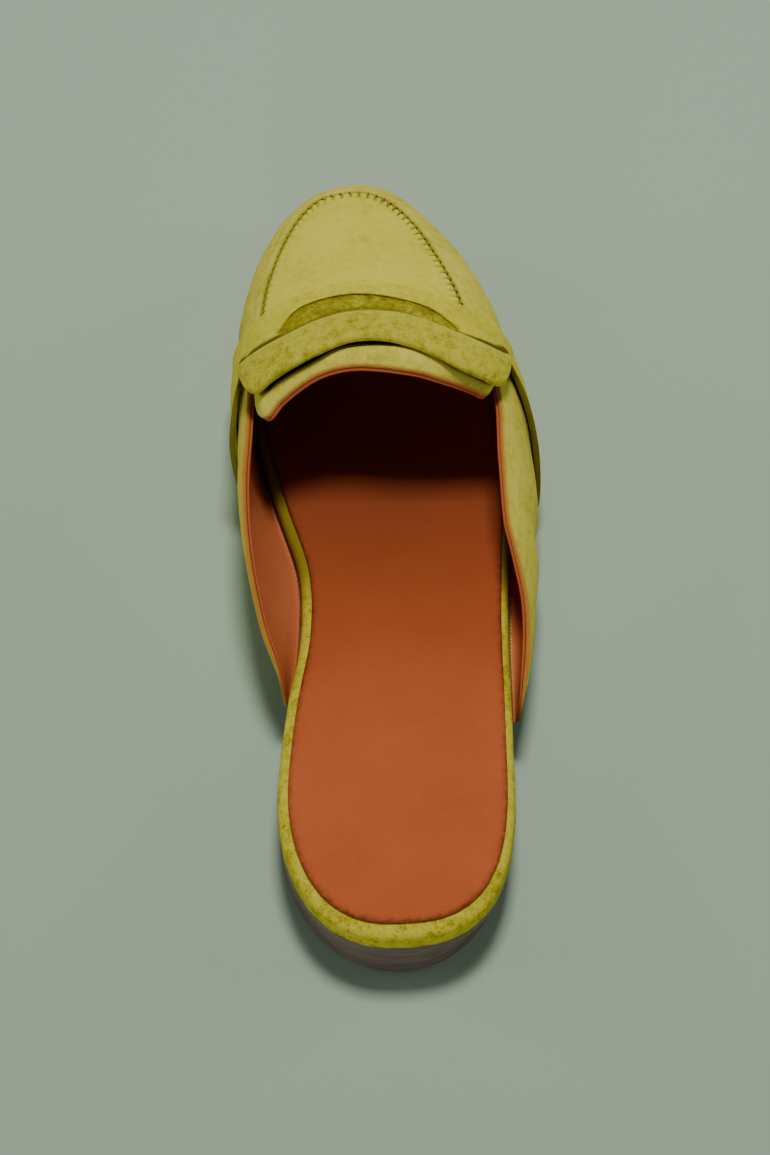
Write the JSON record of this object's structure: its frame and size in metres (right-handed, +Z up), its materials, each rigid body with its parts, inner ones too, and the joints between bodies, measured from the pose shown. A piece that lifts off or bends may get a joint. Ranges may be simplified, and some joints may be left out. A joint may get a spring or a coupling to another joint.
{
  "type": "loafer mule slipper",
  "caption": "Backless suede loafer slipper with a moccasin vamp, saddle and raised instep band, leather sock and low block heel.",
  "frame": {"origin": "bottom centre of the shoe's bounding box, on the floor plane under the middle of the shoe", "axes": "+Y from the heel to the toe, +Z up, +X to the outer (lateral) side of this right shoe"},
  "size_m": [0.091, 0.251, 0.0664],
  "materials": {
    "suede_upper": "matt napped suede",
    "suede_saddle": "matt napped suede",
    "suede_band": "matt napped suede, darker nap",
    "suede_tongue": "matt napped suede",
    "suede_rim": "matt napped suede wrapped over a board",
    "sock_leather": "smooth vegetable-tanned leather, satin",
    "lining_leather": "smooth lining leather, satin",
    "thread": "waxed sewing thread",
    "outsole_rubber": "matt dark brown rubber",
    "heel_stack": "stained and waxed stacked leather",
    "top_lift": "matt dark brown rubber"
  },
  "bodies": {
    "root": {"upper": "suede_upper", "saddle": "suede_saddle", "instep_band": "suede_band", "tongue": "suede_tongue", "outsole": "outsole_rubber", "footbed": "suede_rim", "sock": "sock_leather", "heel_block": "heel_stack", "heel_top_lift": "top_lift"}
  },
  "joints": []
}
